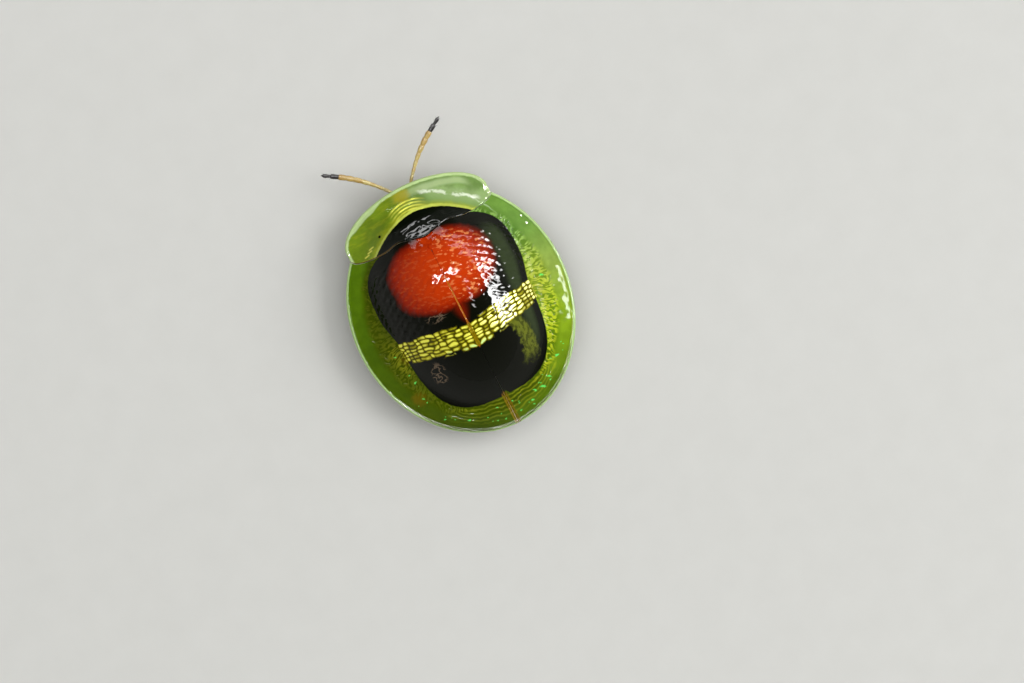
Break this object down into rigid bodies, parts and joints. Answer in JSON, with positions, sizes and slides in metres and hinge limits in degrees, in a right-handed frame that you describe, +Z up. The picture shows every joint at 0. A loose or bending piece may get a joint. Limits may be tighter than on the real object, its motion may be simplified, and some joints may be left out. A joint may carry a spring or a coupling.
{
  "type": "tortoise beetle",
  "caption": "Life-size still tortoise beetle with a domed shell, flat brim round the body, short feelers out and legs under the shell.",
  "frame": {"origin": "on the floor, under the middle of the box round the whole beetle with its feelers", "axes": "+Z up, the head toward -Y, the beetle's left side toward +X"},
  "size_m": [0.0076, 0.0106, 0.0037],
  "materials": {
    "gold_green_cuticle": "glassy green-gold horn",
    "black_red_cuticle": "polished black and red horn with a gold band",
    "dark_cuticle": "polished black horn",
    "brown_cuticle": "dull brown horn",
    "amber_cuticle": "satin amber horn",
    "eye_black": "glossy black"
  },
  "bodies": {
    "root": {"pronotum": "gold_green_cuticle", "scutellum": "dark_cuticle", "elytron_left": "black_red_cuticle", "elytron_right": "black_red_cuticle", "head": "amber_cuticle", "eye_left": "eye_black", "eye_right": "eye_black", "antenna_left": "amber_cuticle", "antenna_right": "amber_cuticle", "prosternum": "brown_cuticle", "thorax": "dark_cuticle", "abdomen": "brown_cuticle", "leg_front_left": "amber_cuticle", "leg_front_right": "amber_cuticle", "leg_middle_left": "amber_cuticle", "leg_middle_right": "amber_cuticle", "leg_hind_left": "amber_cuticle", "leg_hind_right": "amber_cuticle"}
  },
  "joints": []
}
